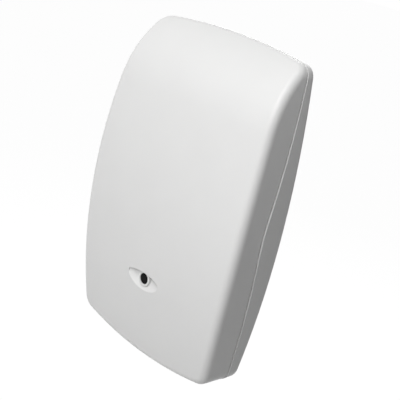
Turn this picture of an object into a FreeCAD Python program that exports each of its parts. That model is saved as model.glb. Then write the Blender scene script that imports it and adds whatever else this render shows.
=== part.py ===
import FreeCAD
import Part
import math
import os

# Glass break sensor for a wall: a moulded two-part housing with its circuit board, in millimetres.
# The front faces -Y, +Z is up and +X is to the right seen from the front.
# The origin lies in the middle of the rear face, which goes flat against the wall.

# Housing outline seen from the front
housing_width = 50.0
housing_height = 78.0
widest_height = 1.5
side_bow_radius = 240.0
top_bow_radius = 164.0
bottom_bow_radius = 104.0
top_corner_radius = 3.0
bottom_corner_radius = 3.6
inner_corner_radius = 0.5

# Front face: a long shallow arc up the front, a tight arc over the top and a slight crown across
front_arc_radius = 165.0
front_peak_drop = 43.5
top_slope_length = 15.7
crown_radius = 266.0
front_edge_radius = 1.9
top_lip_height = 0.3

# Line where the cover meets the base: a shallow vee seen from the side
parting_depth = 7.65
parting_height = 1.0
parting_slope_below = 0.095
parting_slope_above = 0.136
parting_blend_radius = 40.0
parting_gap = 0.3
rim_step = 0.3

# Moulded walls
cover_wall = 1.8
cover_draft = 1.0
base_wall = 1.9
base_floor = 1.6
base_draft = 1.5
rear_edge_radius = 1.8

# Tongue of the base that stands inside the lip of the cover all the way round
cover_lip = 0.8
tongue_clearance = 0.25
tongue_thickness = 0.8
tongue_height = 1.2
tongue_root = 1.4
tongue_end_clearance = 0.3

# Catch at the bottom: a rounded nib on the tongue and a groove in the cover
catch_width = 8.0
catch_nib_radius = 0.25
catch_height = 0.65

# Hooks on the cover that turn about the upper edge of the base
hook_inner_radius = 1.9
hook_thickness = 1.3
hook_width = 6.0
hook_spacing = 20.0
hook_tail_angle = 32.0
hook_root_angle = 60.0
hook_clearance = 0.3

# Microphone eye in the front face: a scooped bowl with a round port in a short collar.
# Its heights are rises and drops from the middle of the port.
eye_width = 9.9
eye_upper_corner_rise = 0.7
eye_lower_corner_drop = 0.55
eye_upper_lid_rise = 1.7
eye_lower_lid_drop = 2.65
eye_end_bulge = 0.15
eye_floor_lean = 30.0
eye_floor_radius = 7.5
eye_floor_bow = 14.0
port_radius = 1.33
port_collar_radius = 1.8
port_sunk = 0.35
port_shoulder = 0.3
boss_radius = 5.4
boss_depth = 3.2

# Microphone behind the eye
microphone_inset = 5.8
grille_sunk = 0.15
grille_thickness = 0.4
grille_clearance = 0.05
boot_radius = 4.4
boot_gap = 0.3
capsule_radius = 3.0
capsule_height = 2.7
capsule_front_lip = 0.5
capsule_edge_radius = 0.25
capsule_opening_radius = 1.1
boot_mouth_radius = 2.2
lead_radius = 0.25
lead_spacing = 2.54

# Wall screws and cable entry in the base
wall_hole_radius = 2.1
wall_hole_inset = 8.0
wall_boss_width = 2.0
wall_boss_height = 0.8
cable_hole_width = 13.0
cable_hole_height = 7.0
cable_collar_width = 1.0
cable_collar_height = 1.0

# Circuit board and its seats
board_width = 38.0
board_height = 40.0
board_thickness = 1.2
board_corner_radius = 1.0
board_top_gap = 2.9
component_room = 8.8
post_height = 2.2
post_radius = 2.0
upper_post_inset = 2.0
upper_post_drop = 4.5
lower_post_inset = 3.0
lower_post_rise = 3.5
pin_radius = 0.8
pin_height = 1.0
pin_clearance = 0.3
board_hole_clearance = 0.1
screw_radius = 1.1
screw_head_radius = 2.1
screw_head_height = 1.5
screw_length = 3.0
screw_core_clearance = 0.05

# Soldered leads
lead_tail = 1.2
solder_hole_clearance = 0.1

# Terminal block
terminal_pitch = 5.0
terminal_depth = 7.6
terminal_headroom = 1.9
terminal_setback = 0.4
terminal_floor = 1.2
terminal_entry = 3.4
terminal_entry_depth = 5.6
terminal_screw_setback = 3.2
terminal_clamp_length = 4.2
terminal_clamp_wall = 0.5
terminal_clamp_clearance = 0.2
terminal_screw_head = 1.45
terminal_screw_head_height = 1.3
terminal_screw_radius = 0.85
terminal_screw_sunk = 0.4
terminal_bore_clearance = 0.2
terminal_thread_clearance = 0.08
terminal_tail_radius = 0.45

# Driver slots in screws and in the trimmer
slot_width = 0.5
slot_depth = 0.6
slot_overrun = 1.0

# Places on the board: an inset is measured from its nearest side edge to the middle of the
# piece, and a height share is how far up the board it lies, from 0 at the lower edge to 1.
# Tamper switch, pressed by a post on the cover
tamper_inset = 5.0
tamper_height_share = 0.65
tamper_size = 6.2
tamper_body_height = 4.2
tamper_wall = 0.6
tamper_plunger_radius = 1.6
tamper_flange_radius = 2.2
tamper_flange_thickness = 0.7
tamper_bore_clearance = 0.1
tamper_room_clearance = 0.2
tamper_travel = 0.9
tamper_stop_gap = 0.3
tamper_post_length = 2.8
tamper_post_radius = 1.8
tamper_post_gap = 0.3

# Sensitivity trimmer
trimmer_inset = 5.6
trimmer_height_share = 0.3625
trimmer_size = 6.6
trimmer_height = 4.4
trimmer_rotor_radius = 2.5
trimmer_rotor_height = 2.9
trimmer_rotor_proud = 0.3
trimmer_bore_clearance = 0.1
trimmer_slot_length = 3.75

# Jumper header with its shunts
header_inset = 5.0
header_height_share = 0.3
header_pitch = 2.54
header_rows = 3
header_base_height = 2.5
header_pin_side = 0.64
header_headroom = 1.2
shunt_width = 2.3
shunt_wall = 0.9
shunt_lift = 0.1
shunt_pin_proud = 0.6
shunt_hole_clearance = 0.05

# Alarm relay
relay_inset = 6.6
relay_height_share = 0.605
relay_width = 10.0
relay_length = 7.4
relay_headroom = 3.2
relay_edge_radius = 0.4

# Round capacitors: place and size of each
capacitor_large_x = 4.4
capacitor_large_height_share = 0.68
capacitor_large_radius = 3.0
capacitor_small_gap = 0.9
capacitor_small_height_share = 0.46
capacitor_small_radius = 2.0
capacitor_headroom = 3.0
capacitor_edge_radius = 0.25
capacitor_groove_radius = 0.25
capacitor_groove_depth = 0.12
capacitor_groove_height = 1.0

# Integrated circuits with gull-wing legs
processor_x = -1.2
processor_height_share = 0.38
processor_width = 5.3
processor_length = 6.5
processor_height = 1.4
processor_legs = 8
amplifier_height_share = 0.18
amplifier_width = 3.9
amplifier_length = 5.0
amplifier_height = 1.5
amplifier_legs = 4
chip_lift = 0.15
leg_pitch = 0.8
leg_width = 0.35
leg_reach = 0.9
leg_standoff = 0.2
leg_thickness = 0.2

# Voltage regulator, surge diode, crystal and indicator
regulator_x = -2.6
regulator_height_share = 0.705
regulator_width = 4.5
regulator_length = 2.5
regulator_height = 1.5
diode_x = 6.0
diode_height_share = 0.56
diode_width = 4.3
diode_length = 2.6
diode_height = 2.1
package_chamfer = 0.35
crystal_height_share = 0.135
crystal_width = 3.2
crystal_length = 7.0
crystal_height = 2.0
crystal_corner_radius = 1.45
boot_side_gap = 0.6
indicator_height_share = 0.06
indicator_width = 3.2
indicator_length = 1.6
indicator_base = 0.7
indicator_lens_radius = 0.7

# Small chip resistors and capacitors in short rows
small_chip_length = 1.6
small_chip_width = 0.8
small_chip_height = 0.5
small_chip_pitch = 1.5
small_chip_gap = 0.8
long_row_count = 5
short_row_count = 3
upper_row_height_share = 0.545
lower_row_height_share = 0.185

# How far cutting shapes run past what they cut, and how closely two depths count as the same
beyond = 4.0
touch = 0.01

# Places worked out from the sizes above
half_width = housing_width / 2
half_height = housing_height / 2
board_back = -(base_floor + post_height)
board_front = board_back - board_thickness
housing_depth = component_room + cover_wall - board_front
crown_axis = crown_radius - housing_depth
front_peak_height = half_height - front_peak_drop
shoulder_height = half_height - top_slope_length
wall_hole_z = half_height - wall_hole_inset
wall_boss_radius = wall_hole_radius + wall_boss_width
cable_hole_z = wall_hole_z - wall_boss_radius - cable_collar_width - cable_hole_height / 2
board_top = cable_hole_z - cable_hole_height / 2 - cable_collar_width - board_top_gap
board_low = board_top - board_height
tail_end = board_back + lead_tail


def point(x, y, z):
    return FreeCAD.Vector(x, y, z)


def block(x_mid, z_mid, width, length, back, front):
    """A box centred at x_mid, z_mid that stands from depth back to depth front."""
    corner = point(x_mid - width / 2, front, z_mid - length / 2)
    return Part.makeBox(width, back - front, length, corner)


def rod(x_mid, z_mid, radius, back, front):
    """A round bar across the wall direction from depth back to depth front."""
    return Part.makeCylinder(radius, back - front, point(x_mid, front, z_mid), point(0, 1, 0))


def joined(shapes):
    first = shapes[0]
    return first.multiFuse(shapes[1:]).removeSplitter() if len(shapes) > 1 else first


def export(shape, node):
    shape.exportStep("parts/" + node + ".step")


# Housing outline

def corner_centre(side_middle, side_radius, end_middle, end_radius):
    """The crossing of two circles about side_middle and end_middle that lies at the corner."""
    across = end_middle - side_middle
    distance = across.Length
    along = (distance ** 2 + side_radius ** 2 - end_radius ** 2) / (2 * distance)
    off = math.sqrt(side_radius ** 2 - along ** 2)
    unit = across / distance
    square = point(-unit.z, 0, unit.x)
    first = side_middle + unit * along + square * off
    second = side_middle + unit * along - square * off
    return first if first.Length < second.Length else second


def side_middle(x_sign):
    return point(x_sign * (half_width - side_bow_radius), 0, widest_height)


def corner_arc(x_sign, z_sign, inset, depth):
    """Where the side arc ends, the middle of the rounding and where the end arc starts."""
    bow_radius = top_bow_radius if z_sign > 0 else bottom_bow_radius
    corner_radius = top_corner_radius if z_sign > 0 else bottom_corner_radius
    rounding = max(corner_radius - inset, inner_corner_radius)
    side = side_middle(x_sign)
    end = point(0, 0, z_sign * (half_height - bow_radius))
    side_radius = side_bow_radius - inset
    end_radius = bow_radius - inset
    centre = corner_centre(side, side_radius - rounding, end, end_radius - rounding)
    to_side = (centre - side).normalize()
    to_end = (centre - end).normalize()
    middle = centre + (to_side + to_end).normalize() * rounding
    shift = point(0, depth, 0)
    return side + to_side * side_radius + shift, middle + shift, end + to_end * end_radius + shift


def outline(inset, depth):
    """The closed outline of the housing, moved inwards by inset, at the given depth."""
    top_right = corner_arc(1, 1, inset, depth)
    top_left = corner_arc(-1, 1, inset, depth)
    low_right = corner_arc(1, -1, inset, depth)
    low_left = corner_arc(-1, -1, inset, depth)
    right = point(half_width - inset, depth, widest_height)
    left = point(inset - half_width, depth, widest_height)
    top = point(0, depth, half_height - inset)
    bottom = point(0, depth, inset - half_height)
    arcs = [
        Part.Arc(low_right[0], right, top_right[0]),
        Part.Arc(top_right[0], top_right[1], top_right[2]),
        Part.Arc(top_right[2], top, top_left[2]),
        Part.Arc(top_left[2], top_left[1], top_left[0]),
        Part.Arc(top_left[0], left, low_left[0]),
        Part.Arc(low_left[0], low_left[1], low_left[2]),
        Part.Arc(low_left[2], bottom, low_right[2]),
        Part.Arc(low_right[2], low_right[1], low_right[0]),
    ]
    return Part.Wire([arc.toShape() for arc in arcs])


def rounded(solid, picks):
    """The solid with each picked edge, given by its number, rounded with its own radius."""
    sheet = FreeCAD.newDocument()
    plain = sheet.addObject("Part::Feature", "plain")
    plain.Shape = solid
    rounding = sheet.addObject("Part::Fillet", "rounding")
    rounding.Base = plain
    rounding.Edges = [(number, radius, radius) for number, radius in picks]
    sheet.recompute()
    shape = rounding.Shape.copy()
    FreeCAD.closeDocument(sheet.Name)
    return shape


def straight_block(inset, back, front):
    return Part.Face(outline(inset, back)).extrude(point(0, front - back, 0))


def leaning_block(inset, level, angle, back, front):
    """The outline as a solid with leaning walls, which has the given inset at depth level.

    A positive angle draws the walls in towards the front, and a negative one towards the wall.
    """
    lean = math.tan(math.radians(angle))
    rear_inset = inset - lean * (back - level)
    front_inset = inset - lean * (front - level)
    return Part.makeLoft([outline(rear_inset, back), outline(front_inset, front)], True, True)


def drafted_block(inset):
    """The leaning outer form of the cover, moved inwards by inset."""
    return leaning_block(inset, -parting_depth, cover_draft, beyond, -(housing_depth + beyond))


# Parting line

def parting_y(height):
    """Depth of the line between cover and base at a height, left of its blend."""
    if height > parting_height:
        return -parting_depth + parting_slope_above * (height - parting_height)
    return -parting_depth + parting_slope_below * (parting_height - height)


def behind_parting(shift):
    """Everything behind the parting line, which is moved by shift along the depth."""
    reach = half_height + beyond
    lean_up = math.atan(parting_slope_above)
    lean_down = math.atan(parting_slope_below)
    half_turn = (lean_up + lean_down) / 2
    run = parting_blend_radius * math.tan(half_turn)
    vertex = point(0, -parting_depth + shift, parting_height)
    up = point(0, math.sin(lean_up), math.cos(lean_up))
    down = point(0, math.sin(lean_down), -math.cos(lean_down))
    inward = (up + down).normalize()
    middle = vertex + inward * parting_blend_radius * (1 / math.cos(half_turn) - 1)
    top = point(0, parting_y(reach) + shift, reach)
    bottom = point(0, parting_y(-reach) + shift, -reach)
    rear_top = point(0, 2 * beyond, reach)
    rear_bottom = point(0, 2 * beyond, -reach)
    edges = [
        Part.makeLine(bottom, vertex + down * run),
        Part.Arc(vertex + down * run, middle, vertex + up * run).toShape(),
        Part.makeLine(vertex + up * run, top),
        Part.makeLine(top, rear_top),
        Part.makeLine(rear_top, rear_bottom),
        Part.makeLine(rear_bottom, bottom),
    ]
    face = Part.Face(Part.Wire(edges))
    face.translate(point(-half_width - beyond, 0, 0))
    return face.extrude(point(housing_width + 2 * beyond, 0, 0))


# Front form of the cover

def front_arcs():
    """Centre and radius of the long front arc and of the top arc that meets it without a kink."""
    long_centre = point(0, front_arc_radius - housing_depth, front_peak_height)
    rise = shoulder_height - front_peak_height
    meet_y = long_centre.y - math.sqrt(front_arc_radius ** 2 - rise ** 2)
    meet = point(0, meet_y, shoulder_height)
    inward = (long_centre - meet).normalize()
    lip = point(0, parting_y(half_height) - top_lip_height, half_height)
    chord = lip - meet
    top_radius = chord.dot(chord) / (2 * chord.dot(inward))
    return long_centre, meet + inward * top_radius, top_radius


def arc_y(centre, radius, height):
    return centre.y - math.sqrt(radius ** 2 - (height - centre.z) ** 2)


def front_y(height, inset):
    """Depth of the front face, moved inwards by inset, on the middle line."""
    long_centre, top_centre, top_radius = front_arcs()
    if height < shoulder_height:
        return arc_y(long_centre, front_arc_radius - inset, height)
    return arc_y(top_centre, top_radius - inset, height)


def front_form(inset):
    """Everything behind the crowned front face, moved inwards by inset."""
    long_centre, top_centre, top_radius = front_arcs()
    inward = (top_centre - long_centre).normalize()
    long_radius = front_arc_radius - inset
    top_radius = top_radius - inset
    low = -half_height - beyond
    start = point(0, arc_y(long_centre, long_radius, low), low)
    halfway = (low + shoulder_height) / 2
    long_middle = point(0, arc_y(long_centre, long_radius, halfway), halfway)
    meet = long_centre + inward * long_radius
    end_y = beyond
    end_z = top_centre.z + math.sqrt(top_radius ** 2 - (end_y - top_centre.y) ** 2)
    end = point(0, end_y, end_z)
    half_chord = ((meet + end) / 2 - top_centre).normalize()
    top_middle = top_centre + half_chord * top_radius
    edges = [
        Part.Arc(start, long_middle, meet).toShape(),
        Part.Arc(meet, top_middle, end).toShape(),
        Part.makeLine(end, point(0, end_y, low)),
        Part.makeLine(point(0, end_y, low), start),
    ]
    face = Part.Face(Part.Wire(edges))
    half_turn = math.degrees(math.asin((half_width + beyond) / crown_radius))
    axis_foot = point(0, crown_axis, 0)
    face.rotate(axis_foot, point(0, 0, 1), -half_turn)
    return face.revolve(axis_foot, point(0, 0, 1), 2 * half_turn)


def cover_body(inset):
    """The rounded form of the cover, moved inwards by inset, before it is cut at the parting line."""
    body = drafted_block(inset).common(front_form(inset))
    edge_radius = max(front_edge_radius - inset, inner_corner_radius)
    picks = []
    for number, edge in enumerate(body.Edges, 1):
        crowned = 0
        for face in body.ancestorsOfType(edge, Part.Face):
            turned = isinstance(face.Surface, (Part.Toroid, Part.SurfaceOfRevolution))
            crowned += 1 if turned else 0
        if crowned == 1:
            picks.append((number, edge_radius))
    return rounded(body, picks)


# Front cover

def ring_sector(inner, outer, from_angle, to_angle, x_mid, width):
    """Part of a ring about the hinge line; angles run from straight down towards the front."""
    corner = point(x_mid - width / 2, hinge_y, hinge_z)
    face = Part.makePlane(outer - inner, width, corner, point(0, -1, 0), point(0, 0, -1))
    face.translate(point(0, 0, -inner))
    face.rotate(point(0, hinge_y, hinge_z), point(1, 0, 0), -from_angle)
    return face.revolve(point(0, hinge_y, hinge_z), point(1, 0, 0), from_angle - to_angle)


def eye_prism():
    """A bar with the outline of the eye above and at its ends, which runs on past the lower lid."""
    half = eye_width / 2
    depth = front_y(port_height, 0) + boss_depth

    def place(x, rise):
        return point(x, depth, port_height + rise)

    bulge = half + eye_end_bulge
    end_middle = (eye_upper_corner_rise - eye_lower_corner_drop) / 2
    upper_left = place(-half, eye_upper_corner_rise)
    upper_right = place(half, eye_upper_corner_rise)
    lower_left = place(-half, -eye_lower_corner_drop)
    lower_right = place(half, -eye_lower_corner_drop)
    foot_left = place(-half, -eye_lower_lid_drop - beyond)
    foot_right = place(half, -eye_lower_lid_drop - beyond)
    edges = [
        Part.Arc(upper_left, place(0, eye_upper_lid_rise), upper_right).toShape(),
        Part.Arc(upper_right, place(bulge, end_middle), lower_right).toShape(),
        Part.makeLine(lower_right, foot_right),
        Part.makeLine(foot_right, foot_left),
        Part.makeLine(foot_left, lower_left),
        Part.Arc(lower_left, place(-bulge, end_middle), upper_left).toShape(),
    ]
    return Part.Face(Part.Wire(edges)).extrude(point(0, -housing_depth, 0))


def eye_bowl():
    """The hollow of the eye: a spoon with a steep floor at the lower lid and a wall under the upper one."""
    lean = math.radians(eye_floor_lean)
    low = port_height - eye_lower_lid_drop
    middle_z = low + eye_floor_radius * math.sin(lean)
    middle_y = front_y(low, 0) - eye_floor_radius * math.cos(lean)
    ring_radius = eye_floor_bow - eye_floor_radius
    ring_middle = point(0, middle_y - ring_radius, middle_z)
    spoon = Part.makeTorus(ring_radius, eye_floor_radius, ring_middle, point(0, 0, 1))
    return eye_prism().common(spoon)


def front_cover():
    front_edge = behind_parting(-parting_gap / 2)
    form = cover_body(0)
    hollow = cover_body(cover_wall)
    cover = form.cut(front_edge).cut(hollow)

    # Rebate inside the lip, where the tongue of the base stands
    inside_lip = cover_body(cover_lip)
    cover = cover.cut(inside_lip.common(behind_parting(-tongue_height - tongue_end_clearance)))

    # Boss behind the eye
    boss = rod(0, port_height, boss_radius, boss_back, -housing_depth)
    cover = cover.fuse(boss.common(cover_body(cover_wall / 2)))

    # Post that presses the tamper switch
    post_back = tamper_pressed_front - tamper_post_gap
    post = rod(tamper_x, tamper_z, tamper_post_radius, post_back, -housing_depth)
    cover = cover.fuse(post.common(cover_body(cover_wall / 2)))

    # Hooks that turn about the upper edge of the base
    for x_mid in (-hook_spacing / 2, hook_spacing / 2):
        hook = ring_sector(hook_inner_radius, hook_outer_radius,
                           -hook_tail_angle, hook_root_angle, x_mid, hook_width)
        cover = cover.fuse(hook.common(inside_lip))

    # Bowl of the eye, with the collar of the port standing in it
    collar = rod(0, port_height, port_collar_radius, boss_back, port_face)
    port = rod(0, port_height, port_radius, grille_front + grille_thickness, -housing_depth - beyond)
    duct = rod(0, port_height, port_radius - port_shoulder, beyond, -housing_depth - beyond)
    cover = cover.cut(eye_bowl()).fuse(collar).cut(port).cut(duct)

    # Groove for the catch of the base
    return cover.cut(catch_bar(catch_groove_radius, catch_width + 2 * tongue_end_clearance))


# Rear base

def catch_bar(radius, length):
    """A round bar along the bottom of the tongue, for the nib and for its groove."""
    middle = point(-length / 2, catch_y, catch_z)
    return Part.makeCylinder(radius, length, middle, point(1, 0, 0))


def rear_edge(solid):
    """The numbers of the edges round the rear face, each with its radius."""
    picks = []
    for number, edge in enumerate(solid.Edges, 1):
        if abs(edge.BoundBox.YMin) < touch and edge.BoundBox.YLength < touch:
            picks.append((number, rear_edge_radius))
    return picks


def rear_base():
    depth = -(parting_depth + beyond)
    plain = leaning_block(-rim_step, -parting_depth, -base_draft, 0, depth)
    form = rounded(plain, rear_edge(plain))
    base = form.common(behind_parting(parting_gap / 2))
    base = base.cut(straight_block(base_wall, -base_floor, depth))

    # Tongue inside the rim, with the nib of the catch
    ring = cover_body(tongue_inset).cut(cover_body(tongue_inset + tongue_thickness))
    ring = ring.common(behind_parting(-tongue_height)).cut(behind_parting(tongue_root))
    base = base.fuse(ring)
    base = base.fuse(catch_bar(catch_nib_radius, catch_width))

    # Board posts: two upper ones with pins, two lower ones for the screws
    for x_mid in (-upper_post_x, upper_post_x):
        base = base.fuse(rod(x_mid, upper_post_z, post_radius, -base_floor / 2, board_back))
        base = base.fuse(rod(x_mid, upper_post_z, pin_radius, -base_floor, board_front - pin_height))
    for x_mid in (-lower_post_x, lower_post_x):
        base = base.fuse(rod(x_mid, lower_post_z, post_radius, -base_floor / 2, board_back))
        core = screw_radius + screw_core_clearance
        base = base.cut(rod(x_mid, lower_post_z, core, screw_hole_end, board_back - beyond))

    # Wall screws and cable entry
    for z_mid in (-wall_hole_z, wall_hole_z):
        boss_front = -base_floor - wall_boss_height
        base = base.fuse(rod(0, z_mid, wall_boss_radius, -base_floor / 2, boss_front))
        base = base.cut(rod(0, z_mid, wall_hole_radius, beyond, -housing_depth))
    collar_width = cable_hole_width + 2 * cable_collar_width
    collar_length = cable_hole_height + 2 * cable_collar_width
    collar_front = -base_floor - cable_collar_height
    collar = block(0, cable_hole_z, collar_width, collar_length, -base_floor / 2, collar_front)
    hole = block(0, cable_hole_z, cable_hole_width, cable_hole_height, beyond, -housing_depth)
    base = base.fuse(collar).cut(hole)

    # Pockets and rear windows for the hooks of the cover
    for x_mid in (-hook_spacing / 2, hook_spacing / 2):
        width = hook_width + 2 * hook_clearance
        base = base.cut(ring_sector(hook_inner_radius - hook_clearance, hook_outer_radius + hook_clearance,
                                    -hook_tail_angle - hook_swing_margin, hook_root_angle, x_mid, width))
        window_top = hinge_z - hook_inner_radius * math.cos(math.radians(hook_tail_angle))
        window_low = hinge_z - hook_outer_radius - hook_clearance
        window_middle = (window_top + window_low) / 2
        base = base.cut(block(x_mid, window_middle, width, window_top - window_low, beyond, hinge_y))
    return base


# Circuit board

def up_the_board(share):
    """The height at a share of the way from the board's lower edge to its upper edge."""
    return board_low + share * board_height


def circuit_board():
    board_middle = (board_top + board_low) / 2
    board = block(0, board_middle, board_width, board_height, board_back, board_front)
    corners = [edge for edge in board.Edges if edge.BoundBox.YLength > board_thickness / 2]
    board = board.makeFillet(board_corner_radius, corners)
    holes = []
    for x_mid in (-upper_post_x, upper_post_x):
        holes.append((x_mid, upper_post_z, pin_radius + board_hole_clearance))
    for x_mid in (-lower_post_x, lower_post_x):
        holes.append((x_mid, lower_post_z, screw_radius + board_hole_clearance))
    for x_mid in terminal_places():
        holes.append((x_mid, terminal_screw_z, terminal_tail_radius + solder_hole_clearance))
    pin_corner = math.hypot(header_pin_side, header_pin_side) / 2
    for x_mid, z_mid in header_pins():
        holes.append((x_mid, z_mid, pin_corner + solder_hole_clearance))
    for x_mid in (-lead_spacing / 2, lead_spacing / 2):
        holes.append((x_mid, port_height, lead_radius + solder_hole_clearance))
    for x_mid, z_mid, radius in holes:
        board = board.cut(rod(x_mid, z_mid, radius, beyond, -housing_depth))
    return board


def driver_slot(x_mid, z_mid, length, front):
    return block(x_mid, z_mid, length, slot_width, front + slot_depth, front - slot_overrun)


def board_screws():
    screws = []
    for x_mid in (-lower_post_x, lower_post_x):
        top = board_front - screw_head_height
        head = rod(x_mid, lower_post_z, screw_head_radius, board_front, top)
        head = head.makeFillet(screw_head_height / 2, [round_edge(head, top)])
        shank = rod(x_mid, lower_post_z, screw_radius, board_front + screw_length, board_front)
        screw = head.fuse(shank)
        slot_length = 2 * (screw_head_radius + slot_overrun)
        screws.append(screw.cut(driver_slot(x_mid, lower_post_z, slot_length, top)))
    return Part.makeCompound(screws)


def round_edge(solid, depth):
    """The round edge of a turned solid that lies at the given depth."""
    for edge in solid.Edges:
        box = edge.BoundBox
        if box.YLength < touch and abs(box.YMin - depth) < touch:
            return edge
    return None


# Microphone with its rubber boot, behind the port

def microphone_boot():
    boot = rod(0, port_height, boot_radius, board_front, boot_front)
    mouth = rod(0, port_height, boot_mouth_radius, board_front, boot_front - beyond)
    seat = rod(0, port_height, capsule_radius, board_front, capsule_front)
    return boot.cut(mouth).cut(seat)


def microphone_capsule():
    can = rod(0, port_height, capsule_radius, capsule_front + capsule_height, capsule_front)
    can = can.makeFillet(capsule_edge_radius, [round_edge(can, capsule_front)])
    opening_floor = capsule_front + capsule_edge_radius
    return can.cut(rod(0, port_height, capsule_opening_radius, opening_floor, capsule_front - beyond))


def microphone_leads():
    leads = []
    for x_mid in (-lead_spacing / 2, lead_spacing / 2):
        leads.append(rod(x_mid, port_height, lead_radius, tail_end, capsule_front + capsule_height))
    return Part.makeCompound(leads)


def microphone_grille():
    radius = port_radius - grille_clearance
    return rod(0, port_height, radius, grille_front + grille_thickness, grille_front)


# Terminal block

def terminal_places():
    """As many terminals as find room between the two locating pins."""
    first = -terminal_pitch * (terminal_count - 1) / 2
    return [first + terminal_pitch * number for number in range(terminal_count)]


def terminal_block():
    length = terminal_pitch * terminal_count
    z_mid = terminal_edge - terminal_depth / 2
    body = block(0, z_mid, length, terminal_depth, board_front, terminal_front)
    cavity_back = board_front - terminal_floor
    cavity_front = cavity_back - terminal_entry
    entry_z = terminal_edge - terminal_entry_depth / 2
    for x_mid in terminal_places():
        entry = block(x_mid, entry_z, terminal_entry, terminal_entry_depth, cavity_back, cavity_front)
        body = body.cut(entry)
        bore = terminal_screw_head + terminal_bore_clearance
        body = body.cut(rod(x_mid, terminal_screw_z, bore, cavity_front, terminal_front - beyond))
        tail = terminal_tail_radius + solder_hole_clearance
        body = body.cut(rod(x_mid, terminal_screw_z, tail, board_front, cavity_back))
    return body


def terminal_clamps():
    clamps = []
    back = board_front - terminal_floor
    side = terminal_entry - 2 * terminal_clamp_clearance
    front = back - side
    inner = side - 2 * terminal_clamp_wall
    for x_mid in terminal_places():
        cage = block(x_mid, terminal_screw_z, side, terminal_clamp_length, back, front)
        wire_room = block(x_mid, terminal_screw_z, inner, terminal_clamp_length,
                          back - terminal_clamp_wall, front + terminal_clamp_wall)
        thread = terminal_screw_radius + terminal_thread_clearance
        thread_hole = rod(x_mid, terminal_screw_z, thread, front + terminal_clamp_wall, front)
        cage = cage.cut(wire_room).cut(thread_hole)
        clamps.append(cage.fuse(rod(x_mid, terminal_screw_z, terminal_tail_radius, tail_end, back)))
    return Part.makeCompound(clamps)


def terminal_screws():
    screws = []
    top = terminal_front + terminal_screw_sunk
    head_back = top + terminal_screw_head_height
    tip = board_front - terminal_floor - terminal_clamp_wall - terminal_screw_radius
    for x_mid in terminal_places():
        head = rod(x_mid, terminal_screw_z, terminal_screw_head, head_back, top)
        shank = rod(x_mid, terminal_screw_z, terminal_screw_radius, tip, head_back)
        screw = head.fuse(shank)
        slot_length = 2 * (terminal_screw_head + slot_overrun)
        screws.append(screw.cut(driver_slot(x_mid, terminal_screw_z, slot_length, top)))
    return Part.makeCompound(screws)


# Tamper switch

def tamper_switch_body():
    body = block(tamper_x, tamper_z, tamper_size, tamper_size, board_front, tamper_body_front)
    room = tamper_flange_radius + tamper_room_clearance
    body = body.cut(rod(tamper_x, tamper_z, room, board_front - tamper_wall, tamper_body_front + tamper_wall))
    bore = tamper_plunger_radius + tamper_bore_clearance
    return body.cut(rod(tamper_x, tamper_z, bore, board_front - tamper_wall, tamper_body_front - beyond))


def tamper_plunger():
    flange_front = tamper_body_front + tamper_wall + tamper_stop_gap + tamper_travel
    flange_back = flange_front + tamper_flange_thickness
    flange = rod(tamper_x, tamper_z, tamper_flange_radius, flange_back, flange_front)
    return flange.fuse(rod(tamper_x, tamper_z, tamper_plunger_radius, flange_back, tamper_pressed_front))


# Sensitivity trimmer

def trimmer_body():
    front = board_front - trimmer_height
    body = block(trimmer_x, trimmer_z, trimmer_size, trimmer_size, board_front, front)
    bore = trimmer_rotor_radius + trimmer_bore_clearance
    room_back = front - trimmer_rotor_proud + trimmer_rotor_height + trimmer_bore_clearance
    return body.cut(rod(trimmer_x, trimmer_z, bore, room_back, front - beyond))


def trimmer_rotor():
    front = board_front - trimmer_height - trimmer_rotor_proud
    rotor = rod(trimmer_x, trimmer_z, trimmer_rotor_radius, front + trimmer_rotor_height, front)
    return rotor.cut(driver_slot(trimmer_x, trimmer_z, trimmer_slot_length, front))


# Jumper header and its shunts

def header_pins():
    places = []
    for row in range(header_rows):
        for column in (-0.5, 0.5):
            x_mid = header_x + column * header_pitch
            z_mid = header_z + (row - (header_rows - 1) / 2) * header_pitch
            places.append((x_mid, z_mid))
    return places


def jumper_header():
    length = header_pitch * header_rows
    base = block(header_x, header_z, 2 * header_pitch, length, board_front, board_front - header_base_height)
    for x_mid, z_mid in header_pins():
        side = header_pin_side + 2 * shunt_hole_clearance
        base = base.cut(block(x_mid, z_mid, side, side, board_front, board_front - header_base_height))
    return base


def jumper_pins():
    pins = []
    for x_mid, z_mid in header_pins():
        pins.append(block(x_mid, z_mid, header_pin_side, header_pin_side, tail_end, header_pin_front))
    return Part.makeCompound(pins)


def jumper_shunts():
    """Two shunts, on the first and the last row of the header."""
    shunts = []
    places = header_pins()
    back = board_front - header_base_height - shunt_lift
    front = header_pin_front + shunt_pin_proud
    for row in (0, header_rows - 1):
        z_mid = places[2 * row][1]
        width = header_pitch + header_pin_side + 2 * shunt_wall
        shunt = block(header_x, z_mid, width, shunt_width, back, front)
        for x_mid, pin_z in places[2 * row:2 * row + 2]:
            side = header_pin_side + 2 * shunt_hole_clearance
            shunt = shunt.cut(block(x_mid, pin_z, side, side, back, front))
        shunts.append(shunt)
    return Part.makeCompound(shunts)


# Parts that lie on the board

def alarm_relay():
    relay = block(relay_x, relay_z, relay_width, relay_length, board_front, relay_front)
    edges = [edge for edge in relay.Edges if edge.BoundBox.YMax < relay_front + touch]
    return relay.makeFillet(relay_edge_radius, edges)


def capacitor(x_mid, z_mid, radius):
    """A can with its crimp groove near the board."""
    can = rod(x_mid, z_mid, radius, board_front, capacitor_front)
    can = can.makeFillet(capacitor_edge_radius, [round_edge(can, capacitor_front)])
    groove_middle = point(x_mid, board_front - capacitor_groove_height, z_mid)
    ring_radius = radius - capacitor_groove_depth + capacitor_groove_radius
    return can.cut(Part.makeTorus(ring_radius, capacitor_groove_radius, groove_middle, point(0, 1, 0)))


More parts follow.
